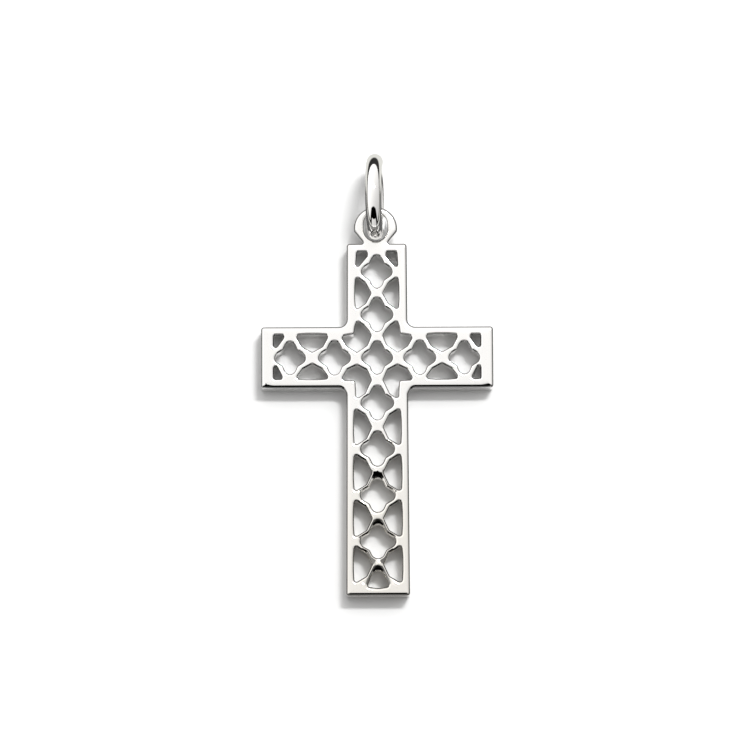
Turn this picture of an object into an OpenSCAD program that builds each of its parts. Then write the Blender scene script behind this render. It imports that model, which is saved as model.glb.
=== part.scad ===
// Pierced cross pendant with an eye at its head and a round jump ring.
// It lies on its back: X to the right, Y towards the ring, Z out of the front.
// The origin is under the middle of the whole piece, on the surface that it lies on.

/* [Cross] */
// Height of the cross without its eye
cross_h = 28.3; // [27.6:0.1:30]
// Width across the two arms
span = 18.6; // [18.2:0.1:19.4]
// Distance from the head's top edge down to the lattice's row in the arms
head = 9.23; // [9:0.01:9.6]
// Width of the upright at the top edge
top_w = 4.82; // [4.7:0.01:5]
// Width of the upright at the foot
foot_w = 5.08; // [5:0.01:5.3]
// Height of the arms
arm_w = 4.94; // [4.8:0.01:5.1]
// Height of the arms' middle above the lattice's row
arm_y = 0.04; // [0:0.005:0.15]
// Thickness from back to front
thick = 2.4; // [2.3:0.05:2.6]
// Radius of the rounded front edges
edge_r = 0.22; // [0.1:0.01:0.25]
// Plan radius of the outer corners
corner_r = 0.24; // [0.1:0.01:0.3]
// Plan radius of the four inner corners
inner_r = 0.6; // [0.4:0.05:0.8]

/* [Openwork] */
// Height of a quatrefoil opening
foil_h = 2.68; // [2.5:0.01:2.8]
// Width of the quatrefoils at the head and in the arms
foil_w_head = 2.5; // [2.3:0.01:2.6]
// Size of the middle and the outermost quatrefoils against their neighbours
foil_ratio = 0.965; // [0.94:0.005:1]
// Width of the lowest quatrefoil
foil_w_foot = 2.76; // [2.5:0.01:2.85]
// Radius in the corners of the other openings
window_r = 0.12; // [0.05:0.01:0.14]

/* [Eye] */
// Outer diameter of the eye
eye_d = 3.48; // [3.3:0.01:3.6]
// Height of the eye's centre above the top edge
eye_rise = 1.23; // [1.2:0.01:1.3]
// Sideways place of the eye, which sits a little to the left
eye_x = -0.09; // [-0.1:0.01:0.1]
// Thickness of the eye, flush with the front
eye_t = 0.8; // [0.7:0.01:0.8]
// Width of the hole in the eye
hole_w = 1.92; // [1.8:0.01:2]
// Length of the hole in the eye
hole_l = 2.32; // [2.3:0.01:2.4]

/* [Jump ring] */
// Outer diameter of the ring
ring_d = 6.9; // [6.8:0.01:7]
// Diameter of its round wire
wire_d = 1.28; // [1.1:0.01:1.3]
// Lean of the standing ring, its top towards the left
ring_lean = 3.4; // [0:0.1:4]

/* [Hidden] */
// Segments of a true circle, and of a rounded corner
round_fn = 64;
corner_steps = 4;
// Overrun of a cutter past a face
over = 1;

foot = cross_h - head;
// Distances between neighbouring quatrefoils: towards the head, the foot and the arms' ends
head_pitch = 0.3768 * head;
foot_pitch = 0.194 * foot;
arm_pitch = 0.367 * span / 2;
arm_reach = 0.75 * span / 2;
// The first quatrefoil below the crossing is a little nearer
foot_first = 0.19 * foot;
// Distance between the side windows towards the foot
window_pitch = 0.1922 * foot;
// The web in an inner corner starts this far inside the bars, so that they cross and don't just touch
web_sink = 0.012;
// The ring stands on the same surface as the cross, a little clear of the eye
ring_r = (ring_d - wire_d) / 2;
ring_z = ring_r * cos(ring_lean) + wire_d / 2;
hole_y = head + eye_rise + 0.15;
ring_y = hole_y + 2.23;
ring_tip = ring_y + ring_d / 2;
mid_y = (ring_tip - foot) / 2;

// Half width of the upright at height y
function half_w(y) = (top_w + (foot_w - top_w) * (head - y) / cross_h) / 2;

// Height of the arms' upper side, or of their lower one
function arm_side(sy) = arm_y + sy * arm_w / 2;

// Height of the quatrefoil number k, counted from the crossing towards the foot
function foil_y(k) = -foot_first - (k - 1) * foot_pitch;

// Height of the side windows number k, counted in the same way
function window_y(k) = -(k + 0.52) * window_pitch;

// Width of a quatrefoil at height y below the crossing, growing towards the foot
function foil_w(y) = foil_w_head + (foil_w_foot - foil_w_head) * y / foil_y(4);

// Size of the quatrefoil number k, counted from the crossing towards the head or an arm's end
function foil_size(k) = k == 1 ? 1 : foil_ratio;

// A vector's direction
function unit(v) = v / norm(v);

// A polygon's points with its corners rounded in short arcs, to one radius or to a list of radii
function rounded(points, radii) = [
    for (i = [0:len(points) - 1])
        let (
            p = points[i],
            r = is_list(radii) ? radii[i] : radii,
            a = unit(points[(i + len(points) - 1) % len(points)] - p),
            b = unit(points[(i + 1) % len(points)] - p),
            half = acos(a * b) / 2,
            centre = p + unit(a + b) * r / sin(half),
            from = p + a * r / tan(half) - centre,
            to = p + b * r / tan(half) - centre
        )
            for (k = [0:corner_steps])
                centre + unit(from * (corner_steps - k) + to * k) * r
];

// Points mirrored and in reverse order, so that a half outline can be closed with its own mirror image
function mirrored(points, side) = [
    for (i = [len(points) - 1:-1:0]) [points[i].x * side.x, points[i].y * side.y]
];

// Section of a bar of width w and thickness t: straight sides and two rounded front edges
module bar_section(w, t) {
    translate([-w / 2, 0]) square([w, t - edge_r]);
    translate([-w / 2 + edge_r, 0]) square([w - 2 * edge_r, t]);
    for (side = [-1, 1])
        translate([side * (w / 2 - edge_r), t - edge_r]) circle(edge_r, $fn = round_fn);
}

// Straight bar of width w along Y, between two heights
module bar(w, low, high) {
    translate([0, high, 0])
        rotate([90, 0, 0]) linear_extrude(high - low) bar_section(w, thick);
}

// The upright flares: two straight bars, each turned by the taper, share one side each
module upright() {
    taper = atan((foot_w - top_w) / 2 / cross_h);
    intersection_for (side = [-1, 1])
        translate([side * (half_w(0) - span / 2), 0, 0])
            rotate([0, 0, side * taper]) bar(span, -foot - over, head + over);
}

module upright_ends() {
    translate([0, (head - foot) / 2, 0]) rotate([0, 0, 90]) bar(cross_h, -span, span);
}

module arms() {
    intersection() {
        translate([0, arm_y, 0]) rotate([0, 0, 90]) bar(arm_w, -span, span);
        bar(span, -arm_w, arm_w);
    }
}

// Outline in plan, with its outer corners rounded
module outline() {
    polygon(rounded([
        [-half_w(head), head], [half_w(head), head], [half_w(-foot), -foot], [-half_w(-foot), -foot]
    ], corner_r));
    translate([0, arm_y]) polygon(rounded([
        [-span / 2, arm_w / 2], [span / 2, arm_w / 2], [span / 2, -arm_w / 2], [-span / 2, -arm_w / 2]
    ], corner_r));
}

// Web that rounds an inner corner, its front edge rounded as the bars' edges are. It begins inside both bars
module inner_web(x, y) {
    sx = sign(x);
    sy = sign(y);
    deep = 2 * edge_r;
    difference() {
        translate([sx > 0 ? x - deep : x - inner_r, sy > 0 ? y - deep : y - inner_r, 0])
            cube([inner_r + deep, inner_r + deep, thick]);
        translate([x + sx * inner_r, y + sy * inner_r, 0])
            rotate_extrude($fn = round_fn) difference() {
                translate([0, -over]) square([inner_r + edge_r, thick + 2 * over]);
                translate([inner_r, -over]) square([2 * edge_r, thick - edge_r + over]);
                translate([inner_r + edge_r, thick - edge_r]) circle(edge_r, $fn = round_fn);
            }
    }
}

// Quatrefoil: pointed upper and lower lobes, drawn-in waists and side lobes whose two arcs meet at the tip
module quatrefoil(w, h) {
    top = [0.122 * w, h / 2];
    waist = [0.236 * w, 0.257 * h];
    tip = [w / 2, 0.102 * w];
    top_turn = 90 - atan((waist.x - top.x) / (top.y - waist.y));
    tip_turn = 90 - atan((waist.y - tip.y) / (tip.x - waist.x));
    quarter = [top, waist, tip];
    radii = [0.95 * top.x / tan(top_turn / 2), 0.2, 0.95 * tip.y / tan(tip_turn / 2)];
    right = concat(quarter, mirrored(quarter, [1, -1]));
    right_radii = concat(radii, [radii[2], radii[1], radii[0]]);
    polygon(rounded(concat(right, mirrored(right, [-1, 1])), concat(right_radii, right_radii)));
}

// Half quatrefoil that stands on the foot's rim
module foot_window() {
    top = [0.122 * foil_w_foot, foil_h / 2];
    waist = [0.6, 0.8];
    base = [0.83, 0.08];
    top_turn = 90 - atan((waist.x - top.x) / (top.y - waist.y));
    right = [top, waist, base];
    radii = [0.95 * top.x / tan(top_turn / 2), 0.5, 0.12];
    translate([0, foil_y(5)])
        polygon(rounded(
            concat(right, [[0, -0.04]], mirrored(right, [-1, 1])),
            concat(radii, [2], [radii[2], radii[1], radii[0]])
        ));
}

// Side window: its long side follows the rim, its point reaches in between two quatrefoils
module side_window(half, rim) {
    right = [[0.4 * half, rim], [half, rim - 0.05], [half, rim - 0.28], [0.68 * half, 0.92]];
    polygon(rounded(concat(right, [[0, 0.48]], mirrored(right, [-1, 1])), window_r));
}

// Window round an inner corner of the cross, in the upper left: its tip, its side along the upright, its
// line along the arm and its low point
module boomerang(tip, side, line, low) {
    polygon(rounded([
        [-side, tip.y - 0.4], [-tip.x, tip.y - 0.03], [0.2 - tip.x, tip.y], [-1, tip.y - 0.32],
        [-0.69, 2.2], [-0.48, 1.8], [-0.8, 1.02], [-1.62, low], [-2.42, 0.96], [-2.79, 1.6],
        [-2.68, 1.78], [-side - 0.14, line], [-side - 0.05, line + 0.14]
    ], 0.08));
}

// Small windows that fill the corners of the head and of the arms' ends
module head_corner() {
    rim = half_w(head) - 0.81;
    top = head - 0.67;
    low = head - 1.82;
    polygon(rounded([
        [-rim, top], [-0.77, top], [-0.77, top - 0.34], [0.14 - rim, low], [-rim - 0.07, low]
    ], window_r));
}

module arm_corner(low, top, wide) {
    end = span / 2 - 1.01;
    polygon(rounded([
        [-end, top], [wide - end, top], [wide - end, top - 0.22], [0.26 - end, low], [-end, low]
    ], window_r));
}

// Every opening of the lattice, in plan
module openwork() {
    for (k = [0:2])
        translate([0, k * head_pitch]) scale(foil_size(k)) quatrefoil(foil_w_head, foil_h);
    for (k = [1:4])
        translate([0, foil_y(k)]) quatrefoil(foil_w(foil_y(k)), foil_h);
    for (side = [-1, 1]) {
        for (k = [1:2])
            translate([side * (k == 1 ? arm_pitch : arm_reach), 0])
                scale(foil_size(k)) quatrefoil(foil_w_head, foil_h);
        translate([side * (arm_pitch + arm_reach) / 2, 0]) {
            side_window(1.2, 1.9);
            mirror([0, 1]) side_window(1.2, 1.72);
        }
        translate([0, 1.5 * head_pitch]) rotate(-90 * side)
            side_window(head_pitch / 2 - 0.54, half_w(1.5 * head_pitch) - 0.68);
        for (k = [1:4])
            translate([0, window_y(k)]) rotate(-90 * side)
                side_window(window_pitch / 2 - 0.48, half_w(window_y(k)) - 0.6);
        mirror([side > 0 ? 1 : 0, 0]) {
            boomerang([1.66, 2.88], 1.78, 1.91, 0.45);
            mirror([0, 1]) boomerang([1.69, 3.19], 1.7, 1.82, 0.58);
            head_corner();
            arm_corner(0.89, 1.86, 0.8);
            mirror([0, 1]) arm_corner(0.69, 1.69, 0.66);
        }
    }
    foot_window();
}

// Flat eye, flush with the front: a disc that two flats narrow towards the head, with an oval hole
module eye() {
    flat = 0.856 * eye_d / 2;
    flat_angle = 39;
    difference() {
        translate([eye_x, head + eye_rise, thick - eye_t]) intersection() {
            rotate_extrude($fn = round_fn) intersection() {
                bar_section(eye_d, eye_t);
                translate([0, -over]) square([eye_d, thick + 2 * over]);
            }
            for (side = [0, 1])
                mirror([side, 0, 0]) rotate([0, 0, -flat_angle]) translate([flat - eye_d, eye_d, 0])
                    rotate([90, 0, 0]) linear_extrude(2 * eye_d) bar_section(2 * eye_d, eye_t);
        }
        translate([eye_x, 0, -over]) linear_extrude(thick + 2 * over) {
            straight = (hole_l - hole_w) / 2;
            for (s = [-1, 1])
                translate([0, hole_y + s * straight]) circle(hole_w / 2, $fn = round_fn);
            translate([-hole_w / 2, hole_y - straight]) square([hole_w, 2 * straight]);
        }
    }
}

module cross() {
    color("silver") translate([0, -mid_y, 0]) {
        difference() {
            union() {
                intersection() {
                    union() {
                        intersection() {
                            upright();
                            upright_ends();
                        }
                        arms();
                    }
                    linear_extrude(thick + over) outline();
                }
                for (sx = [-1, 1])
                    for (sy = [-1, 1])
                        inner_web(sx * (half_w(arm_side(sy)) - web_sink), arm_side(sy) - sy * web_sink);
            }
            translate([0, 0, -over]) linear_extrude(thick + 2 * over) openwork();
        }
        eye();
    }
}

module jump_ring() {
    color("silver") translate([eye_x, ring_y - mid_y, ring_z])
        rotate([0, -ring_lean, 0]) rotate([0, 90, 0])
            rotate_extrude($fn = round_fn)
                translate([ring_r, 0]) circle(wire_d / 2, $fn = round_fn);
}

cross();
jump_ring();
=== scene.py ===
"""A pierced silver cross pendant with its jump ring, lying on a pale table in soft studio light."""

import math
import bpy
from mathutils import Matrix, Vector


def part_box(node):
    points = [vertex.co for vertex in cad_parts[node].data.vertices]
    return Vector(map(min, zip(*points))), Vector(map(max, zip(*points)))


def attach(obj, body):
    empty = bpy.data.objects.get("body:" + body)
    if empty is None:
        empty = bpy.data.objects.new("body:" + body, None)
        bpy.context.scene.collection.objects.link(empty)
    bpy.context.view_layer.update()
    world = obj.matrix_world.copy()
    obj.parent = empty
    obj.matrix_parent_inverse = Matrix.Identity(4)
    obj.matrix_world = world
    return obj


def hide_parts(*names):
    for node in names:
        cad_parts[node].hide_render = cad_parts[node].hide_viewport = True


bl_info = {
    "name": "Pierced cross pendant",
    "version": (1, 0, 0),
    "blender": (4, 5, 0),
    "location": "View3D > Sidebar > Pendant",
    "description": "A polished silver cross with a quatrefoil lattice, its jump ring and a small studio",
    "category": "Add Mesh",
}

from types import SimpleNamespace

import bpy
import numpy as np
from bpy.props import FloatProperty, FloatVectorProperty, PointerProperty
from mathutils import Matrix, Vector
from mathutils.geometry import delaunay_2d_cdt

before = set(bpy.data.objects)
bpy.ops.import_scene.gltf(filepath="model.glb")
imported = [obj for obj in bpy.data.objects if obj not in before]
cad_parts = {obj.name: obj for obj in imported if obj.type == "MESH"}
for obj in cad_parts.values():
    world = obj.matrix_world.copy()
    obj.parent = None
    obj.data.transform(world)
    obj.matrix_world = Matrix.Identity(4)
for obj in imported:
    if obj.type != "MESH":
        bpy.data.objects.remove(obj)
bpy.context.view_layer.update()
CROSS_LOW, CROSS_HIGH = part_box("cross")
RING_LOW, RING_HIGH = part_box("jump_ring")
MM = 0.001


def length(name, description, default):
    """A length that the sidebar shows in the scene's units."""
    return FloatProperty(name=name, description=description, default=default, unit="LENGTH", precision=6)


def angle(name, description, degrees):
    """An angle that is given here in degrees and kept in radians."""
    default = math.radians(degrees)
    return FloatProperty(name=name, description=description, default=default, subtype="ANGLE")


def colour(name, description, default):
    """A colour with a swatch in the sidebar."""
    return FloatVectorProperty(name=name, description=description, default=default, subtype="COLOR", size=3)


class CrossSizes(bpy.types.PropertyGroup):
    """Sizes of the cross's outline and of the rounding along it"""

    cross_h: length("Height", "Height of the cross without its eye", 28.3 * MM)
    span: length("Span", "Width across the two arms", CROSS_HIGH.x - CROSS_LOW.x)
    head: length("Head", "From the head's top edge down to the lattice's row in the arms", 9.23 * MM)
    top_w: length("Top width", "Width of the upright at its top edge", 4.82 * MM)
    foot_w: length("Foot width", "Width of the upright at the foot", 5.08 * MM)
    arm_w: length("Arm height", "Height of the arms", 4.94 * MM)
    arm_y: length("Arm place", "Height of the arms' middle above the lattice's row", 0.04 * MM)
    thick: length("Thickness", "From back to front", CROSS_HIGH.z)
    corner_r: length("Outer corners", "Plan radius of the outer corners", 0.24 * MM)
    inner_r: length("Inner corners", "Plan radius of the four inner corners", 0.6 * MM)
    rim_round: length("Rim rounding", "How far the rounding of the outer edge reaches in", 0.17 * MM)
    rim_lip: length("Rim lip", "Radius between that rounding and the wall", 0.2 * MM)
    steepest: angle("Steepest", "Slope of a rounding at its lip", 40)


class OpenworkSizes(bpy.types.PropertyGroup):
    """Sizes of the lattice's openings and of the rounding along them"""

    foil_h: length("Foil height", "Height of a quatrefoil opening", 2.68 * MM)
    foil_w_head: length("Foil width", "Width of the quatrefoils at the head and in the arms", 2.5 * MM)
    foil_ratio: FloatProperty(
        name="Foil ratio",
        description="Size of the middle and outermost quatrefoils",
        default=0.965,
        min=0.9,
        max=1,
    )
    foil_w_foot: length("Lowest foil width", "Width of the lowest quatrefoil", 2.76 * MM)
    window_r: length("Window corners", "Radius in the corners of the other openings", 0.12 * MM)
    window_lip: length("Window lip", "Radius between a window's rounding and its wall", 0.22 * MM)
    edge_round: length("Edge rounding", "How far the rounding of a window's edge reaches", 0.11 * MM)
    low_round: length("Lower rounding", "The same reach near the foot, which is more worn", 0.2 * MM)


class EyeSizes(bpy.types.PropertyGroup):
    """Sizes of the flat eye at the cross's head"""

    eye_d: length("Eye", "Outer diameter of the eye", 3.48 * MM)
    eye_rise: length("Eye rise", "Height of the eye's centre above the top edge", 1.23 * MM)
    eye_x: length("Eye place", "Sideways place of the eye", -0.09 * MM)
    eye_t: length("Eye thickness", "Thickness of the eye, flush with the front", 0.8 * MM)
    hole_w: length("Hole width", "Width of the hole in the eye", 1.92 * MM)
    hole_l: length("Hole length", "Length of the hole in the eye", 2.32 * MM)


class RingSizes(bpy.types.PropertyGroup):
    """Sizes of the jump ring"""

    ring_d: length("Ring", "Outer diameter of the jump ring", RING_HIGH.y - RING_LOW.y)
    wire_d: length("Wire", "Diameter of its round wire", 1.28 * MM)
    lean: angle("Lean", "Lean of the standing ring", 3.4)


class StudioLooks(bpy.types.PropertyGroup):
    """Colours of the silver and the table, and the camera's place"""

    silver: colour("Silver", "Colour of the polished silver", (0.94, 0.93, 0.915))
    worn: colour("Worn silver", "Colour of the silver near the foot", (0.86, 0.835, 0.79))
    table: colour("Table", "Colour of the table", (0.38, 0.38, 0.38))
    # Painted reflection colours: the silver sees these on the table, while the camera sees only the table
    # colour
    shade: colour("Shade", "Colour of the table round the pendant, mirrored", (0.04, 0.04, 0.04))
    mirrored_grey: colour("Board", "Colour of the table a little further off, mirrored", (0.25, 0.25, 0.24))
    beyond: colour("Beyond", "Colour of the table beyond that, mirrored", (0.01, 0.01, 0.01))
    tilt: angle("Camera tilt", "The camera's angle from plumb", 6.3)
    turn: angle("Camera turn", "The camera's turn about plumb", -0.25)
    width_seen: length("Width seen", "Width that the camera sees at the cross's face", 60 * MM)


GROUPS = {
    "pendant_cross": CrossSizes,
    "pendant_openwork": OpenworkSizes,
    "pendant_eye": EyeSizes,
    "pendant_ring": RingSizes,
    "pendant_looks": StudioLooks,
}

# Places of the openings, as shares of the head, of the foot and of half the span
HEAD_PITCH = 0.3768
FOOT_PITCH = 0.194
FOOT_FIRST = 0.19
WINDOW_PITCH = 0.1922
ARM_PITCH = 0.367
ARM_REACH = 0.75

# How far the hole's centre lies above the eye's centre, in millimetres
HOLE_RISE = 0.15

# What the rim's rounding reaches more at edges that face the foot, what it reaches more still at the
# arms' ends, and the length over which it does
SOUTH_ROUND = 0.13
TIP_ROUND = 0.3
TIP_LENGTH = 1.1

# Where the worn rounding of the windows starts below the crossing, and the length over which it grows
WEAR_START = 2
WEAR_LENGTH = 7

# Slopes of the roofs over the third quatrefoil below the crossing and over the openings below it, and
# the slope at which a roof leaves nothing of the rounding under it
THIRD_ROOF = 0.64
LOWER_ROOF = 0.385
STEEPEST_ROOF = 0.7

# Reach of a roof from its window, height of the third roof's middle above that quatrefoil's middle, and
# half width of the webs that have a roof
ROOF_REACH = 0.66
ROOF_RISE = 0.9
ROOF_HALF = 1.3

# The shallow fall of the front beside the rims
PILLOW_REACH = 0.95
PILLOW_FALL = 0.035

# Width over which two roundings blend, and the band along each path that strips of triangles cover
BLEND = 0.016
STEEP = 0.13

# How far an edge shapes the front, and how many of its sides are measured at once
FIELD_REACH = 1.0
RUN = 48


def sizes_in_mm(scene):
    """Every length of the cross, its openwork and its eye, by name and in millimetres."""
    found = {}
    for name in ("pendant_cross", "pendant_openwork", "pendant_eye"):
        group = getattr(scene, name)
        found.update({key: getattr(group, key) / MM for key in GROUPS[name].__annotations__})
    s = SimpleNamespace(**found)
    # These two are an angle and a ratio, which keep their value
    s.steepest = scene.pendant_cross.steepest
    s.foil_ratio = scene.pendant_openwork.foil_ratio
    s.foot = s.cross_h - s.head
    s.head_pitch = HEAD_PITCH * s.head
    s.foot_pitch = FOOT_PITCH * s.foot
    s.foot_first = FOOT_FIRST * s.foot
    s.window_pitch = WINDOW_PITCH * s.foot
    s.arm_pitch = ARM_PITCH * s.span / 2
    s.arm_reach = ARM_REACH * s.span / 2
    s.hole_y = s.head + s.eye_rise + HOLE_RISE
    s.centre_y = CROSS_LOW.y / MM + s.foot
    return s


def half_w(s, y):
    """Half width of the upright: a straight taper from the top edge to the foot."""
    return (s.top_w + (s.foot_w - s.top_w) * (s.head - y) / s.cross_h) / 2


def foil_y(s, k):
    """Height of the quatrefoil number k, counted from the crossing towards the foot."""
    return -s.foot_first - (k - 1) * s.foot_pitch


def foil_w(s, y):
    """Width of a quatrefoil below the crossing, growing in proportion towards the foot."""
    return s.foil_w_head + (s.foil_w_foot - s.foil_w_head) * y / foil_y(s, 4)


def unit(v):
    """Each vector over its own length."""
    return v / np.maximum(np.linalg.norm(v, axis=-1, keepdims=True), 1e-12)


def smooth(x):
    """A soft step from 0 to 1: three times the square less twice the cube."""
    x = np.clip(x, 0, 1)
    return x * x * (3 - 2 * x)


def rounded(points, radii, steps=24):
    """Corners turned into arcs: each arc swings about the point on the corner's bisector from which
    both sides are one radius away, and its points are blended on the sphere between its two ends."""
    p = np.array(points, float)
    r = np.broadcast_to(np.array(radii, float), (len(p),))[:, None]
    a = unit(np.roll(p, 1, axis=0) - p)
    b = unit(np.roll(p, -1, axis=0) - p)
    half = np.arccos(np.clip((a * b).sum(1), -1, 1))[:, None] / 2
    centre = p + unit(a + b) * r / np.sin(half)
    start = p + a * r / np.tan(half) - centre
    end = p + b * r / np.tan(half) - centre
    swing = (math.pi - 2 * half)[:, None]
    t = np.linspace(0, 1, steps)[None, :, None]
    arc = (start[:, None] * np.sin((1 - t) * swing) + end[:, None] * np.sin(t * swing)) / np.sin(swing)
    return (centre[:, None] + arc).reshape(-1, 2)


def evenly(points, step, closed=True):
    """A path with its points at even steps along its length."""
    path = np.vstack([points, points[:1]]) if closed else points
    along = np.concatenate([[0], np.cumsum(np.linalg.norm(np.diff(path, axis=0), axis=1))])
    places = np.linspace(0, along[-1], max(3, round(along[-1] / step)) + 1)
    even = np.stack([np.interp(places, along, path[:, k]) for k in (0, 1)], axis=1)
    return even[:-1] if closed else even


def turned(points, degrees):
    """The same path turned about the origin, from east towards north."""
    swing = math.radians(degrees)
    c, s = math.cos(swing), math.sin(swing)
    return points @ np.array([[c, s], [-s, c]])


def clockwise(points):
    """The same loop with the metal on its left: the shoelace area decides which way it runs."""
    x, y = points.T
    area = (x * np.roll(y, -1) - np.roll(x, -1) * y).sum()
    return points[::-1] if area > 0 else points


def closed_halves(right, middle=()):
    """A closed outline from its right half, a list of points with their radii: the half, then a point on
    the axis if there is one, then the half's mirror image."""
    corners = right + list(middle) + [((-x, y), r) for (x, y), r in right[::-1]]
    return rounded([p for p, r in corners], [r for p, r in corners])


def lobe_radius(half_side, along, aside):
    """The radius at which the two arcs at a lobe's tip all but meet: half the tip's side over the tangent
    of half the turn between that side and the flank, which runs so far along the lobe and so far aside."""
    nearly = 0.998
    return nearly * half_side / math.tan(math.atan2(along, aside) / 2)


def quatrefoil(w, h):
    """Pointed upper and lower lobes, drawn-in waists and side lobes whose two arcs meet at the tip."""
    top, waist, side = (0.122 * w, h / 2), (0.236 * w, 0.257 * h), (w / 2, 0.102 * w)
    top_r = lobe_radius(top[0], top[1] - waist[1], waist[0] - top[0])
    side_r = lobe_radius(side[1], side[0] - waist[0], waist[1] - side[1])
    quarter = [(top, top_r), (waist, 0.2), (side, side_r)]
    return closed_halves(quarter + [((x, -y), r) for (x, y), r in quarter[::-1]])


def foot_window(s):
    """Half a quatrefoil that stands on the foot's rim."""
    top, waist = (0.122 * s.foil_w_foot, s.foil_h / 2), (0.6, 0.8)
    top_r = lobe_radius(top[0], top[1] - waist[1], waist[0] - top[0])
    right = [(top, top_r), (waist, 0.5), ((0.83, 0.08), 0.12)]
    return closed_halves(right, [((0, -0.04), 2)]) + [0, foil_y(s, 5)]


def side_window(s, half, rim):
    """A long side along the rim and a point that reaches in between two quatrefoils."""
    right = [(0.4 * half, rim), (half, rim - 0.05), (half, rim - 0.28), (0.68 * half, 0.92)]
    return closed_halves([(p, s.window_r) for p in right], [((0, 0.48), s.window_r)])


def boomerang(tip, side, line, low):
    """The window round an inner corner of the cross, in the upper left: its tip, its side along the
    upright, its line along the arm and its low point. Corners with the metal outside are rounder."""
    x, y = tip
    corner, outside = 0.1, 0.2
    points = [
        (-side, y - 0.4), (-x, y - 0.03), (0.2 - x, y), (-1, y - 0.32), (-0.69, 2.2), (-0.48, 1.8),
        (-0.8, 1.02), (-1.62, low), (-2.42, 0.96), (-2.79, 1.6), (-2.68, 1.78), (-side - 0.14, line),
        (-side - 0.05, line + 0.14),
    ]
    return rounded(points, [corner] * 11 + [outside] * 2)


def head_corner(s):
    """The window in the head's upper left corner: along the top, down beside the quatrefoil to a low point
    and up along the rim, which it leans towards."""
    rim, top, low = half_w(s, s.head) - 0.81, s.head - 0.67, s.head - 1.82
    points = [(-rim, top), (-0.77, top), (-0.77, top - 0.34), (0.14 - rim, low), (-rim - 0.07, low)]
    return rounded(points, s.window_r)


def arm_corner(s, low, top, wide):
    """The window in the upper left corner of an arm's end: a top of the given width, a short drop and a
    slant beside the quatrefoil back to the end's rim."""
    end = s.span / 2 - 1.01
    points = [(-end, top), (wide - end, top), (wide - end, top - 0.22), (0.26 - end, low), (-end, low)]
    return rounded(points, s.window_r)


def upright_window(s, side, y, half, rim):
    """The side window of the upright on one side, at height y and so far inside the upright's edge."""
    return turned(side_window(s, half, half_w(s, y) - rim), -90 * side) + [0, y]


def openings(s):
    """Every opening of the lattice, as a list of closed paths."""
    foil = quatrefoil(s.foil_w_head, s.foil_h)
    small = foil * s.foil_ratio
    found = [small, foil + [0, s.head_pitch], small + [0, 2 * s.head_pitch]]
    for k in range(1, 5):
        y = foil_y(s, k)
        found.append(quatrefoil(foil_w(s, y), s.foil_h) + [0, y])
    for side in (-1, 1):
        found += [foil + [side * s.arm_pitch, 0], small + [side * s.arm_reach, 0]]
        middle = [side * (s.arm_pitch + s.arm_reach) / 2, 0]
        found += [side_window(s, 1.2, 1.9) + middle, side_window(s, 1.2, 1.72) * [1, -1] + middle]
        found.append(upright_window(s, side, 1.5 * s.head_pitch, s.head_pitch / 2 - 0.54, 0.68))
        for k in range(1, 5):
            y = -(k + 0.52) * s.window_pitch
            found.append(upright_window(s, side, y, s.window_pitch / 2 - 0.48, 0.6))
        across, down = [-side, 1], [-side, -1]
        found.append(boomerang((1.66, 2.88), 1.78, 1.91, 0.45) * across)
        found.append(boomerang((1.69, 3.19), 1.7, 1.82, 0.58) * down)
        found += [head_corner(s) * across, arm_corner(s, 0.89, 1.86, 0.8) * across]
        found.append(arm_corner(s, 0.69, 1.69, 0.66) * down)
    return [*found, foot_window(s)]


def half_eyelid(s):
    """The right half of the eye's outline about the eye's centre: a small hollow on the head's top edge, a
    flat that narrows the disc, and the disc's arc up to its top."""
    radius = s.eye_d / 2
    flat = 0.856 * radius
    slant = math.radians(39)
    hollow, steps = 0.1, 16
    meet = (flat - s.eye_rise * math.sin(slant)) / math.cos(slant)
    swing = np.linspace(math.acos(flat / radius) - slant, math.pi / 2, 60)
    disc = np.stack([np.cos(swing), np.sin(swing)], axis=1) * radius
    corner = [(radius, -s.eye_rise), (meet, -s.eye_rise), tuple(disc[0])]
    turn = rounded(corner, [0, hollow, 0], steps)[steps : 2 * steps]
    return np.vstack([turn, disc])


def eye_hole(s):
    """An oval: two half circles, a hair smaller so that their ends stay apart, and straight sides."""
    half, r = s.hole_l / 2, s.hole_w / 2
    corners = [(r, half), (-r, half), (-r, -half), (r, -half)]
    return rounded(corners, r * 0.9999) + [s.eye_x, s.hole_y]


def cross_paths(s, step):
    """Three open paths that share their ends at the eye's neck: the cross's outline, the eye's outline
    and the straight line under the eye. The first and second, or the first and third, close a loop."""
    eye = np.array([s.eye_x, s.head + s.eye_rise])
    half_lid = half_eyelid(s)
    right, left = half_lid[0, 0] + s.eye_x, s.eye_x - half_lid[0, 0]
    high, low, end = s.arm_y + s.arm_w / 2, s.arm_y - s.arm_w / 2, s.span / 2
    top, waist, hip, foot = (half_w(s, y) for y in (s.head, high, low, -s.foot))
    corners = [
        ((left, s.head), 0), ((-top, s.head), s.corner_r), ((-waist, high), s.inner_r),
        ((-end, high), s.corner_r), ((-end, low), s.corner_r), ((-hip, low), s.inner_r),
        ((-foot, -s.foot), s.corner_r), ((foot, -s.foot), s.corner_r), ((hip, low), s.inner_r),
        ((end, low), s.corner_r), ((end, high), s.corner_r), ((waist, high), s.inner_r),
        ((top, s.head), s.corner_r), ((right, s.head), 0),
    ]
    # A point inside closes the loop for the rounding, and only the last point of the first corner, the
    # first point of the last corner and what lies between them are kept
    steps = 24
    closed = [*corners, ((0, 0), 0)]
    outline = rounded([p for p, r in closed], [r for p, r in closed], steps)
    outline = outline[steps - 1 : (len(corners) - 1) * steps + 1]

    eyelid = np.vstack([half_lid, half_lid[::-1][1:] * [-1, 1]]) + eye
    neck_line = np.array([[right, s.head], [left, s.head]])
    return evenly(outline, step, False), evenly(eyelid, step, False), evenly(neck_line, step, False)


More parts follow.
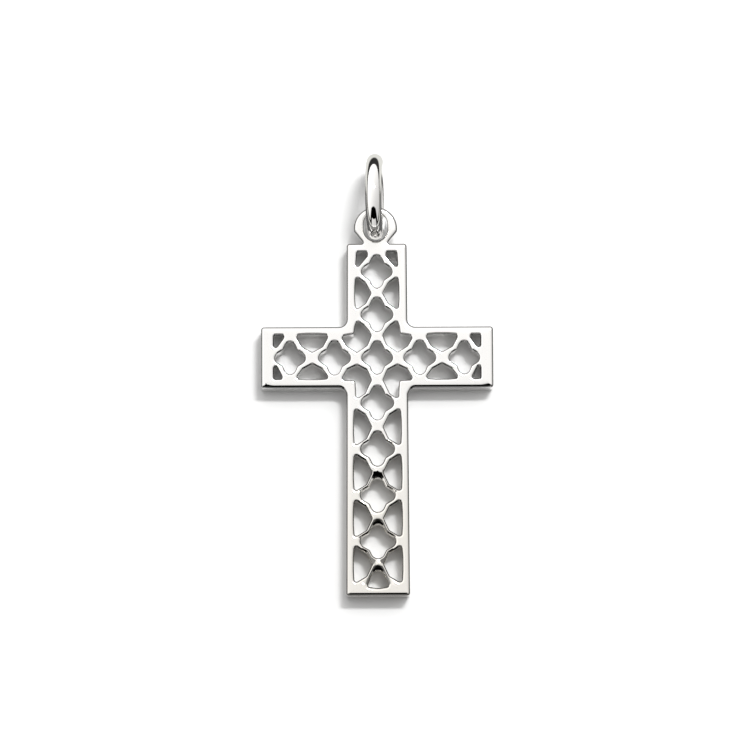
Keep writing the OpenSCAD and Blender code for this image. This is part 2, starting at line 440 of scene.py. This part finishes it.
def metal_side(points):
    """Unit normals of a closed path, to its left, from its neighbouring points."""
    along = unit(np.roll(points, -1, axis=0) - np.roll(points, 1, axis=0))
    return np.stack([-along[:, 1], along[:, 0]], axis=1)


class Edge:
    """A closed path in plan with the metal on its left, and the rounding that the front has along it: its
    reach and the slope of the roof beyond it at each point. The lip is the small radius at the wall."""

    def __init__(self, s, points, rim=False):
        self.points = points
        self.normals = metal_side(points)
        self.rim = rim
        self.sine = math.sin(s.steepest)
        self.lip = s.rim_lip if rim else s.window_lip
        self.first = self.lip * (1 - self.sine)
        x, y = points.T
        north = self.normals[:, 1]
        if rim:
            near_tip = smooth((np.abs(x) - s.span / 2 + TIP_LENGTH) / TIP_LENGTH)
            on_south = smooth(2 * north - 1)
            self.reach = s.rim_round + (SOUTH_ROUND + TIP_ROUND * near_tip) * on_south
            self.roof = np.zeros(len(x))
        else:
            worn = smooth((-y - WEAR_START) / WEAR_LENGTH)
            self.reach = s.edge_round + (s.low_round - s.edge_round) * worn
            # The metal north of a window has the roof. The third roof is full within 0.4 of its rise
            # from its middle and gone past 1.4 of it. The lower ones start halfway from the third
            # quatrefoil to the fourth
            above = smooth((north - 0.1) / 0.45)
            third = smooth(1.4 - np.abs(y - foil_y(s, 3) - ROOF_RISE) / ROOF_RISE)
            lower = smooth((foil_y(s, 3.5) - y) / 0.4)
            self.roof = above * (THIRD_ROOF * third + LOWER_ROOF * lower) * (np.abs(x) < ROOF_HALF)

    def drop(self, d, reach, roof):
        """How far the front lies below its flat at distance d, and how steeply it rises there, as the sum
        of three parts. An arc starts inside the lip at the steepest slope and ends level, and is weaker
        under a roof. The roof rises in proportion to its slope and levels out at its reach, as the
        square of what is left over what is left and a tenth. The pillow inside a rim is a parabola."""
        radius = reach / self.sine
        inward = np.clip(reach + self.first - d, 0, reach)
        side = np.sqrt(radius * radius - inward * inward)
        left = 1 - roof / STEEPEST_ROOF
        fallen, slope = left * (radius - side), left * inward / side
        v = np.clip(1 - d / ROOF_REACH, 0, 1)
        fallen = fallen + roof * ROOF_REACH * v * v / (v + 0.1)
        slope = slope + roof * v * (v + 0.2) / (v + 0.1) ** 2
        if self.rim:
            w = np.clip(1 - d / PILLOW_REACH, 0, 1)
            fallen = fallen + PILLOW_FALL * w * w
            slope = slope + 2 * PILLOW_FALL / PILLOW_REACH * w
        return fallen, slope


def top_field(s, edges, at):
    """Height of the front at points in plan, and their distance to the nearest edge. Each edge gives its
    own drop from the nearest point of its path. The two deepest drops are joined by a smooth maximum,
    and the whole is lifted by the little that this takes off the flats."""
    first = np.zeros(len(at))
    second = np.zeros(len(at))
    nearest = np.full(len(at), FIELD_REACH)
    for edge in edges:
        best = np.full(len(at), FIELD_REACH)
        shape = np.tile([1.0, 0.0], (len(at), 1))
        ahead = np.roll(edge.points, -1, axis=0)
        values = np.stack([edge.reach, edge.roof], axis=1)
        values_ahead = np.roll(values, -1, axis=0)
        for k in range(0, len(edge.points), RUN):
            a, b = edge.points[k : k + RUN], ahead[k : k + RUN]
            low = np.minimum(a.min(0), b.min(0)) - FIELD_REACH
            high = np.maximum(a.max(0), b.max(0)) + FIELD_REACH
            near = np.nonzero(((at > low) & (at < high)).all(1))[0]
            if len(near) == 0:
                continue
            p = at[near][:, None] - a[None]
            side = (b - a)[None]
            t = np.clip((p * side).sum(2) / (side * side).sum(2), 0, 1)
            gap = p - side * t[:, :, None]
            d = np.sqrt((gap * gap).sum(2))
            pick = d.argmin(1)
            rows = np.arange(len(near))
            d = d[rows, pick]
            closer = d < best[near]
            kept, pick, t = near[closer], pick[closer], t[rows, pick][closer][:, None]
            best[kept] = d[closer]
            shape[kept] = values[k + pick] * (1 - t) + values_ahead[k + pick] * t
        drop = np.where(best < FIELD_REACH, edge.drop(best, shape[:, 0], shape[:, 1])[0], 0)
        second = np.maximum(second, np.minimum(drop, first))
        first = np.maximum(first, drop)
        nearest = np.minimum(nearest, best)
    blend = np.clip(BLEND - (first - second), 0, None)
    return s.thick - first - blend * blend / (4 * BLEND) + BLEND / 4, nearest


def field_normals(s, edges, at):
    """Unit normals of the front, from the height's slope between points a hair either side."""
    hair = 0.004
    shifts = ([hair, 0], [-hair, 0], [0, hair], [0, -hair])
    east, west, north, south = (top_field(s, edges, at + shift)[0] for shift in shifts)
    slope = np.stack([(east - west), (north - south)], axis=1) / (2 * hair)
    return unit(np.column_stack([-slope, np.ones(len(at))]))


def front_rows(s, edge, rows=4):
    """The outer part of the front as rows along the path, each with its normals: the lip turns from
    plumb to the front's slope on its own small radius, and rows that follow the drop go on inward."""
    d = np.linspace(edge.first, STEEP, rows)[:, None] + 0 * edge.reach
    fallen, slope = edge.drop(d, edge.reach, edge.roof)
    z = s.thick - fallen + BLEND / 4
    tilt = np.arctan(slope)
    lip = tilt[0] + (math.pi / 2 - tilt[0]) * np.linspace(1, 0, rows)[:-1, None]
    lip_d = edge.first * (1 - np.sin(lip)) / (1 - np.sin(tilt[0]))
    lip_z = z[0] - edge.lip * (np.cos(tilt[0]) - np.cos(lip))
    d, z, tilt = (np.vstack(pair) for pair in ((lip_d, d), (lip_z, z), (lip, tilt)))
    xy = edge.points[None] + edge.normals[None] * d[:, :, None]
    normals = np.dstack([-edge.normals[None] * np.sin(tilt)[:, :, None], np.cos(tilt)])
    return np.dstack([xy, z]), normals


def level_row(edge, d, z, normal_z):
    """One row of a strip at distance d from the path and height z, whose normals have the given height."""
    xy = edge.points + edge.normals * d
    count = len(xy)
    side = math.sqrt(1 - normal_z * normal_z)
    points = np.column_stack([xy, np.full(count, z)])
    normals = np.column_stack([-edge.normals * side, np.full(count, normal_z)])
    return points[None], normals[None]


def strip(*parts):
    """A band of triangles through rows of points that run along one closed path."""
    points = np.concatenate([p for p, n in parts])
    normals = np.concatenate([n for p, n in parts])
    rows, count = points.shape[:2]
    k = np.arange(count)
    ahead = (k + 1) % count
    r = np.arange(rows - 1)[:, None] * count
    a, b, c, d = r + k, r + ahead, r + count + ahead, r + count + k
    return points.reshape(-1, 3), normals.reshape(-1, 3), two_triangles(a, b, c, d)


def two_triangles(a, b, c, d):
    """Each cell with the corners a, b, c and d as the triangles a, b, c and a, c, d."""
    return np.concatenate([np.stack([a, b, c], axis=-1), np.stack([a, c, d], axis=-1)]).reshape(-1, 3)


def left_turn(points, faces):
    """Which triangles turn left from their first corner to their last: twice their area is above 0."""
    a, b, c = (points[faces[:, k]] for k in range(3))
    return (b - a)[:, 0] * (c - a)[:, 1] - (b - a)[:, 1] * (c - a)[:, 0] > 0


def flat_patch(loops, inner=None):
    """Triangles between closed paths with the metal on their left, through the inner points as well.
    A triangle with all three corners on one path is kept only if its corners, in the path's order,
    turn left, since others lie off the metal."""
    inner = np.zeros((0, 2)) if inner is None else inner
    points = np.concatenate([*loops, inner])
    owner = np.concatenate([np.full(len(p), k) for k, p in enumerate(loops)] + [np.full(len(inner), -1)])
    sides, first = [], 0
    for p in loops:
        k = np.arange(len(p))
        sides.append(np.column_stack([first + k, first + (k + 1) % len(p)]))
        first += len(p)
    _, _, faces, sources, _, _ = delaunay_2d_cdt(
        points.tolist(), np.concatenate(sides).tolist(), [], 0, 1e-9, True
    )
    source = np.array([k[0] for k in sources])
    faces = source[np.array(faces)]
    faces = np.where(left_turn(points, faces)[:, None], faces, faces[:, ::-1])
    in_order = left_turn(points, np.sort(faces, axis=1))
    owners = owner[faces]
    one_path = (owners[:, 0] == owners[:, 1]) & (owners[:, 1] == owners[:, 2]) & (owners[:, 0] >= 0)
    return points, faces[~one_path | in_order]


def points_in_metal(edges, at):
    """Even-odd test: a point is in the metal if a ray to its right meets the paths an odd number of
    times."""
    odd = np.zeros(len(at), bool)
    for edge in edges:
        a, b = edge.points, np.roll(edge.points, -1, axis=0)
        reach = (at[:, 1] >= a[:, 1].min()) & (at[:, 1] <= a[:, 1].max()) & (at[:, 0] < a[:, 0].max())
        p = at[reach][:, None]
        crosses = (a[None, :, 1] > p[:, :, 1]) != (b[None, :, 1] > p[:, :, 1])
        rise = np.where(b[:, 1] == a[:, 1], 1, b[:, 1] - a[:, 1])
        x = a[None, :, 0] + (p[:, :, 1] - a[None, :, 1]) * ((b - a)[:, 0] / rise)[None]
        odd[reach] ^= (crosses & (p[:, :, 0] < x)).sum(1) % 2 == 1
    return odd


def inner_points(s, edges):
    """Points that carry the gentle part of the rounding: rows beside every path, as far as they stay
    nearest to it, and a triangular grid over the flats. One point is kept in each small cell."""
    row_gap, rim_rows, window_rows, spare = 0.05, 0.62, 0.4, 0.006
    pitch, grid_clear, cell = 0.16, 0.36, 0.03
    found = []
    for d in np.arange(STEEP + 0.9 * row_gap, rim_rows, row_gap):
        for edge in edges:
            if d > window_rows and not edge.rim:
                continue
            row = edge.points + edge.normals * d
            found.append(np.column_stack([row, np.full(len(row), d - spare)]))
    across = np.arange(-s.span / 2, s.span / 2, pitch)
    up = np.arange(-s.foot, s.head + s.eye_rise + s.eye_d / 2, pitch * math.sqrt(3) / 2)
    x, y = np.meshgrid(across, up)
    x = x + (np.arange(len(up)) % 2)[:, None] * pitch / 2
    grid = np.column_stack([x.ravel(), y.ravel(), np.full(x.size, grid_clear)])
    found = np.concatenate([*found, grid[points_in_metal(edges, grid[:, :2])]])
    _, distance = top_field(s, edges, found[:, :2])
    found = found[distance > found[:, 2]]
    _, kept = np.unique(np.round(found[:, :2] / cell).astype(int), axis=0, return_index=True)
    return found[np.sort(kept), :2]


def facing_down(plan, faces, z):
    """A flat patch at height z, turned over so that it faces down."""
    count = len(plan)
    points = np.column_stack([plan, np.full(count, z)])
    normals = np.tile([0.0, 0.0, -1.0], (count, 1))
    return points, normals, faces[:, ::-1]


def cross_sheets(s):
    """The whole skin of the cross as sheets of points, normals and triangles that meet edge to edge: the
    walls with the rounding above them, the rest of the front, the back and the eye's underside."""
    step, back_round = 0.08, 0.05
    outline, eyelid, neck_line = cross_paths(s, step)
    high = Edge(s, np.vstack([outline[:-1], eyelid[:-1]]), rim=True)
    low = Edge(s, np.vstack([outline[:-1], neck_line[:-1]]), rim=True)
    windows = [Edge(s, evenly(clockwise(p), step)) for p in openings(s)]
    hole = Edge(s, evenly(clockwise(eye_hole(s)), step))
    front = [high, *windows, hole]
    under_eye = s.thick - s.eye_t

    sheets = []
    last_rows = []
    for edge in front:
        points, normals = front_rows(s, edge)
        last_rows.append(points[-1, :, :2])
        wall = [level_row(edge, 0, under_eye, 0)]
        if edge not in (high, hole):
            wall = [level_row(edge, back_round, 0, -1), level_row(edge, 0, back_round, 0)]
        sheets.append(strip(*wall, (points, normals)))
    back_turn = [level_row(low, back_round, 0, -1), level_row(low, 0, back_round, 0)]
    sheets.append(strip(*back_turn, level_row(low, 0, under_eye, 0)))

    plan, faces = flat_patch(last_rows, inner_points(s, front))
    z, _ = top_field(s, front, plan)
    edge_z = np.concatenate([sheet[0][-len(row) :, 2] for sheet, row in zip(sheets, last_rows)])
    z[: len(edge_z)] = edge_z
    sheets.append((np.column_stack([plan, z]), field_normals(s, front, plan), faces))

    back = [edge.points + edge.normals * back_round for edge in (low, *windows)]
    sheets.append(facing_down(*flat_patch(back), 0))
    under = np.vstack([eyelid[:-1], neck_line[::-1][:-1]])
    sheets.append(facing_down(*flat_patch([under, hole.points]), under_eye))
    return sheets


def torus_sheet(ring_r, wire_r, lean, around=180, across=40):
    """A torus: a circle of the wire's radius carried round the ring's circle, which stands on edge and
    leans about the Y axis. Its normals run from the ring's circle to the surface."""
    u = np.linspace(0, 2 * math.pi, around, endpoint=False)[:, None]
    v = np.linspace(0, 2 * math.pi, across, endpoint=False)[None]
    outward = np.dstack([np.sin(v) + 0 * u, np.cos(u) * np.cos(v), np.sin(u) * np.cos(v)])
    centre = np.dstack([0 * u + 0 * v, ring_r * np.cos(u) + 0 * v, ring_r * np.sin(u) + 0 * v])
    c, n = math.cos(lean), math.sin(lean)
    leaning = np.array([[c, 0, n], [0, 1, 0], [-n, 0, c]])
    points = (centre + wire_r * outward) @ leaning
    normals = outward @ leaning
    k = np.arange(around)[:, None]
    j = np.arange(across)[None]
    on, beside = (k + 1) % around * across, (j + 1) % across
    faces = two_triangles(k * across + j, on + j, on + beside, k * across + beside)
    return points.reshape(-1, 3), normals.reshape(-1, 3), faces


def make_piece(name, sheets, place, node, material):
    """One closed mesh from sheets in millimetres: points that coincide become one, and every corner of
    every triangle keeps the normal that its sheet gave it."""
    same = 1e-5
    points = np.concatenate([sheet[0] for sheet in sheets])
    normals = np.concatenate([sheet[1] for sheet in sheets])
    first = np.cumsum([0] + [len(sheet[0]) for sheet in sheets])
    faces = np.concatenate([sheet[2] + start for sheet, start in zip(sheets, first)])
    cells = np.round(points / same).astype(int)
    _, kept, joined = np.unique(cells, axis=0, return_index=True, return_inverse=True)
    corners = joined.reshape(-1)[faces]
    whole = (corners != np.roll(corners, 1, axis=1)).all(1)
    mesh = bpy.data.meshes.new(name)
    mesh.from_pydata(((points[kept] + place) * MM).tolist(), [], corners[whole].tolist())
    mesh.polygons.foreach_set("use_smooth", np.ones(len(mesh.polygons), bool))
    mesh.update()
    mesh.normals_split_custom_set(normals[faces[whole]].reshape(-1, 3).tolist())
    mesh.materials.append(material)
    piece = bpy.data.objects.new(name, mesh)
    bpy.context.scene.collection.objects.link(piece)
    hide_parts(node)
    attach(piece, "root")


def new_material(name):
    """A material with its node tree and its shader."""
    material = bpy.data.materials.new(name)
    material.use_nodes = True
    tree = material.node_tree
    return material, tree, tree.nodes["Principled BSDF"]


def coordinates(tree, kind):
    """The three coordinates of one kind, each as a socket."""
    place = tree.nodes.new("ShaderNodeTexCoord")
    split = tree.nodes.new("ShaderNodeSeparateXYZ")
    tree.links.new(place.outputs[kind], split.inputs[0])
    return split.outputs[0], split.outputs[1], split.outputs[2]


def math_node(tree, operation, a, b=0.0):
    """The output of a math node, whose inputs are each a number or a socket."""
    node = tree.nodes.new("ShaderNodeMath")
    node.operation = operation
    for socket, value in zip(node.inputs, (a, b)):
        if isinstance(value, bpy.types.NodeSocket):
            tree.links.new(value, socket)
        else:
            socket.default_value = value
    return node.outputs[0]


def product(tree, a, b):
    """One number or socket times another."""
    return math_node(tree, "MULTIPLY", a, b)


def difference(tree, a, b):
    """One number or socket less another."""
    return math_node(tree, "SUBTRACT", a, b)


def larger(tree, a, b):
    """The larger of two numbers or sockets."""
    return math_node(tree, "MAXIMUM", a, b)


def ramp(tree, value, low, high):
    """A smooth step from 0 at low to 1 at high."""
    node = tree.nodes.new("ShaderNodeMapRange")
    node.interpolation_type = "SMOOTHSTEP"
    node.inputs["From Min"].default_value = low
    node.inputs["From Max"].default_value = high
    tree.links.new(value, node.inputs["Value"])
    return node.outputs["Result"]


def mixed_colour(tree, factor, a, b):
    """The output of a node that mixes two colours, each given as a colour or as a socket."""
    mix = tree.nodes.new("ShaderNodeMix")
    mix.data_type = "RGBA"
    tree.links.new(factor, mix.inputs["Factor"])
    for name, value in (("A", a), ("B", b)):
        socket = [k for k in mix.inputs if k.name == name and k.type == "RGBA"][0]
        if isinstance(value, bpy.types.NodeSocket):
            tree.links.new(value, socket)
        else:
            socket.default_value = (*value, 1)
    return [k for k in mix.outputs if k.type == "RGBA"][0]


def polished_silver(looks):
    """Silver that is a little duller and warmer towards the foot and less polished on its walls, with a
    painted dark reflection in the turn between its front and its walls: a darker tint by height."""
    gloss, dull_wall, painted_turn_darkness = 0.09, 0.08, 0.75
    # Each pair is where a change starts and where it is complete: depths below the front, then heights
    wall_depths = (0.2, 0.32)
    painted_turn_depths = (0.035, 0.08)
    painted_turn_end_depths = (0.26, 0.2)
    worn_heights = (-1, -13)
    material, tree, shader = new_material("polished silver")
    shader.inputs["Metallic"].default_value = 1
    _, y, z = coordinates(tree, "Object")
    on_wall = ramp(tree, z, *(CROSS_HIGH.z - depth * MM for depth in wall_depths))
    roughness = math_node(tree, "ADD", product(tree, on_wall, dull_wall), gloss)
    tree.links.new(roughness, shader.inputs["Roughness"])
    towards_foot = ramp(tree, y, *(height * MM for height in worn_heights))
    tint = mixed_colour(tree, towards_foot, looks.silver, looks.worn)
    # Painted dark reflection: the base colour darkens in a band below the front, where the edge turns into
    # the wall
    above_wall = ramp(tree, z, *(CROSS_HIGH.z - depth * MM for depth in painted_turn_end_depths))
    below_front = ramp(tree, z, *(CROSS_HIGH.z - depth * MM for depth in painted_turn_depths))
    painted_dark_turn = product(tree, product(tree, above_wall, below_front), painted_turn_darkness)
    tree.links.new(mixed_colour(tree, painted_dark_turn, tint, (0, 0, 0)), shader.inputs["Base Color"])
    return material


def wire_silver(looks):
    """The wire's drawn and tumbled silver, evenly bright all round."""
    material, _, shader = new_material("drawn silver wire")
    shader.inputs["Metallic"].default_value = 1
    shader.inputs["Roughness"].default_value = 0.05
    shader.inputs["Base Color"].default_value = (*looks.silver, 1)
    return material


def world_light(scene):
    """A bright dome, a little brighter to the north and west, with a dark opening in the south and a white
    card low in that opening. A direction's place in the opening is where it meets an upright plane one
    unit to the south: wide is how far aside that is, and tall is how high."""
    lintel_height, lintel_bow, lintel_blur = 1.5, 0.5, 0.12
    post, post_blur = 0.88, 0.08
    card_top, card_side, horizon = (0.38, 0.34), (0.49, 0.44), (0.0, 0.05)
    middle, lean = 0.975, 0.25
    world = bpy.data.worlds.new("light tent")
    world.use_nodes = True
    scene.world = world
    tree = world.node_tree
    x, y, z = coordinates(tree, "Generated")
    southward = product(tree, y, -1.0)
    south = larger(tree, southward, 0.001)
    wide = math_node(tree, "DIVIDE", math_node(tree, "ABSOLUTE", x), south)
    tall = math_node(tree, "DIVIDE", z, south)
    lintel = difference(tree, lintel_height, product(tree, product(tree, wide, wide), lintel_bow))
    under_lintel = ramp(tree, difference(tree, lintel, tall), -lintel_blur, lintel_blur)
    between_posts = ramp(tree, difference(tree, post, wide), -post_blur, post_blur)
    opening = product(tree, product(tree, under_lintel, between_posts), ramp(tree, southward, *horizon))
    card = product(tree, ramp(tree, tall, *card_top), ramp(tree, wide, *card_side))
    opening = product(tree, opening, difference(tree, 1.0, card))
    dome = math_node(tree, "ADD", middle, product(tree, x, -lean))
    dome = math_node(tree, "ADD", dome, product(tree, y, lean))
    background = tree.nodes["Background"]
    tree.links.new(product(tree, dome, difference(tree, 1.0, opening)), background.inputs["Strength"])
    background.inputs["Color"].default_value = (1, 0.995, 0.985, 1)


def soft_light(scene, name, east, north, width, height, watts, mirrored):
    """An oval soft light half a metre away, in the direction that goes east and north by the given shares
    of its height. Its long axis runs east."""
    distance = 0.5
    toward = Vector((east, north, 1)).normalized()
    along = (Vector((1, 0, 0)) - toward * toward.x).normalized()
    light = bpy.data.lights.new(name, "AREA")
    light.shape = "ELLIPSE"
    light.size = width
    light.size_y = height
    light.energy = watts
    lamp = bpy.data.objects.new(name, light)
    lamp.location = toward * distance
    lamp.rotation_euler = Matrix((along, toward.cross(along), toward)).transposed().to_euler()
    lamp.visible_glossy = mirrored
    scene.collection.objects.link(lamp)


def table_colour(tree, looks):
    """White to the eye, and the same where the silver mirrors the table close by. Further off, what the
    silver
    mirrors is painted reflection: a grey, painted dark round the pendant, painted dark beyond for a dark
    room, and the table's own colour to the south for a white card. Only glossy rays see the painted
    colours."""
    # Each pair is where a change of tone starts and where it is complete
    mirrored_grey_end = (27 * MM, 31 * MM)
    card_start = (24 * MM, 28 * MM)
    card_side = (-1 * MM, 1 * MM)
    shade_side = (17 * MM, 15 * MM)
    shade_end = (21 * MM, 19 * MM)
    close_by = (3 * MM, 4.5 * MM)
    shade_south = 4 * MM
    mirrored_grey_north, mirrored_grey_south, card_spread = 1.15, 0.85, 0.466
    x, y, _ = coordinates(tree, "Object")
    aside = math_node(tree, "ABSOLUTE", x)
    northward = product(tree, y, mirrored_grey_north)
    southward = product(tree, y, -1.0)
    outward = larger(tree, aside, larger(tree, northward, product(tree, southward, mirrored_grey_south)))
    past_mirrored_grey = ramp(tree, outward, *mirrored_grey_end)
    mirrored = mixed_colour(tree, past_mirrored_grey, looks.mirrored_grey, looks.beyond)
    inside = difference(tree, product(tree, southward, card_spread), aside)
    card = product(tree, ramp(tree, southward, *card_start), ramp(tree, inside, *card_side))
    mirrored = mixed_colour(tree, card, mirrored, looks.table)
    off_centre = math_node(tree, "ABSOLUTE", math_node(tree, "ADD", y, shade_south))
    painted_dark_zone = product(tree, ramp(tree, aside, *shade_side), ramp(tree, off_centre, *shade_end))
    # Painted reflection: Light Path gives glossy rays these colours, so the silver mirrors a darker table
    # than the camera sees
    light_path = tree.nodes.new("ShaderNodeLightPath")
    away = ramp(tree, light_path.outputs["Ray Length"], *close_by)
    mirrored = mixed_colour(tree, away, looks.table, mixed_colour(tree, painted_dark_zone, mirrored, looks.shade))
    return mixed_colour(tree, light_path.outputs["Is Glossy Ray"], looks.table, mirrored)


def table_top(looks):
    """A wide level table under the pendant."""
    half = 0.6
    mesh = bpy.data.meshes.new("table")
    corners = [(-half, -half, 0), (half, -half, 0), (half, half, 0), (-half, half, 0)]
    mesh.from_pydata(corners, [], [(0, 1, 2, 3)])
    material, tree, shader = new_material("pale table")
    tree.links.new(table_colour(tree, looks), shader.inputs["Base Color"])
    shader.inputs["Roughness"].default_value = 0.9
    shader.inputs["Specular IOR Level"].default_value = 0
    mesh.materials.append(material)
    table = bpy.data.objects.new("table", mesh)
    bpy.context.scene.collection.objects.link(table)


def photo_camera(scene, looks):
    """A long lens that looks almost straight down, from a little to the south."""
    lens, sensor = 200, 36
    aim = Vector((-0.18 * MM, -0.01 * MM, CROSS_HIGH.z))
    distance = looks.width_seen * lens / sensor
    data = bpy.data.cameras.new("photo camera")
    data.lens = lens
    data.sensor_width = sensor
    data.clip_start = 0.01
    camera = bpy.data.objects.new("photo camera", data)
    camera.rotation_euler = (looks.tilt, 0, looks.turn)
    camera.location = aim + camera.rotation_euler.to_matrix() @ Vector((0, 0, distance))
    scene.collection.objects.link(camera)
    scene.camera = camera


class BuildCross(bpy.types.Operator):
    """Build the pierced cross with its eye"""

    bl_idname = "pendant.cross"
    bl_label = "Cross"

    def execute(self, context):
        s = sizes_in_mm(context.scene)
        material = polished_silver(context.scene.pendant_looks)
        place = [0, s.centre_y, 0]
        make_piece("pierced_cross", cross_sheets(s), place, "cross", material)
        return {"FINISHED"}


class BuildRing(bpy.types.Operator):
    """Build the jump ring that stands through the eye"""

    bl_idname = "pendant.ring"
    bl_label = "Jump ring"

    def execute(self, context):
        ring = context.scene.pendant_ring
        wire_r = ring.wire_d / MM / 2
        ring_r = ring.ring_d / MM / 2 - wire_r
        place = np.array((RING_LOW + RING_HIGH) / 2) / MM
        material = wire_silver(context.scene.pendant_looks)
        sheet = torus_sheet(ring_r, wire_r, ring.lean)
        make_piece("round_jump_ring", [sheet], place, "jump_ring", material)
        return {"FINISHED"}


class BuildStage(bpy.types.Operator):
    """Build the table, the light and the camera"""

    bl_idname = "pendant.stage"
    bl_label = "Stage"

    def execute(self, context):
        scene = context.scene
        looks = scene.pendant_looks
        table_top(looks)
        world_light(scene)
        soft_light(
            scene, "soft key", east=0.23, north=0.38, width=0.11, height=0.045, watts=2.9, mirrored=True
        )
        soft_light(
            scene, "broad fill", east=0.25, north=0.4, width=0.5, height=0.5, watts=3.8, mirrored=False
        )
        photo_camera(scene, looks)
        scene.view_settings.view_transform = "Standard"
        return {"FINISHED"}


OPERATORS = (BuildCross, BuildRing, BuildStage)


class PendantPanel(bpy.types.Panel):
    """The pendant's sizes and the buttons that build its pieces"""

    bl_idname = "VIEW3D_PT_pendant"
    bl_label = "Pierced cross pendant"
    bl_space_type = "VIEW_3D"
    bl_region_type = "UI"
    bl_category = "Pendant"

    def draw(self, context):
        for name, group in GROUPS.items():
            box = self.layout.box()
            for key in group.__annotations__:
                box.prop(getattr(context.scene, name), key)
        for operator in OPERATORS:
            self.layout.operator(operator.bl_idname)


def register():
    for made in (*GROUPS.values(), *OPERATORS, PendantPanel):
        bpy.utils.register_class(made)
    for name, group in GROUPS.items():
        setattr(bpy.types.Scene, name, PointerProperty(type=group))


def unregister():
    for name in GROUPS:
        delattr(bpy.types.Scene, name)
    for made in (PendantPanel, *OPERATORS[::-1], *reversed(GROUPS.values())):
        bpy.utils.unregister_class(made)


def main():
    """Register the classes, build the cross, the ring and the stage."""
    register()
    bpy.ops.pendant.cross()
    bpy.ops.pendant.ring()
    bpy.ops.pendant.stage()


if __name__ == "__main__":
    main()
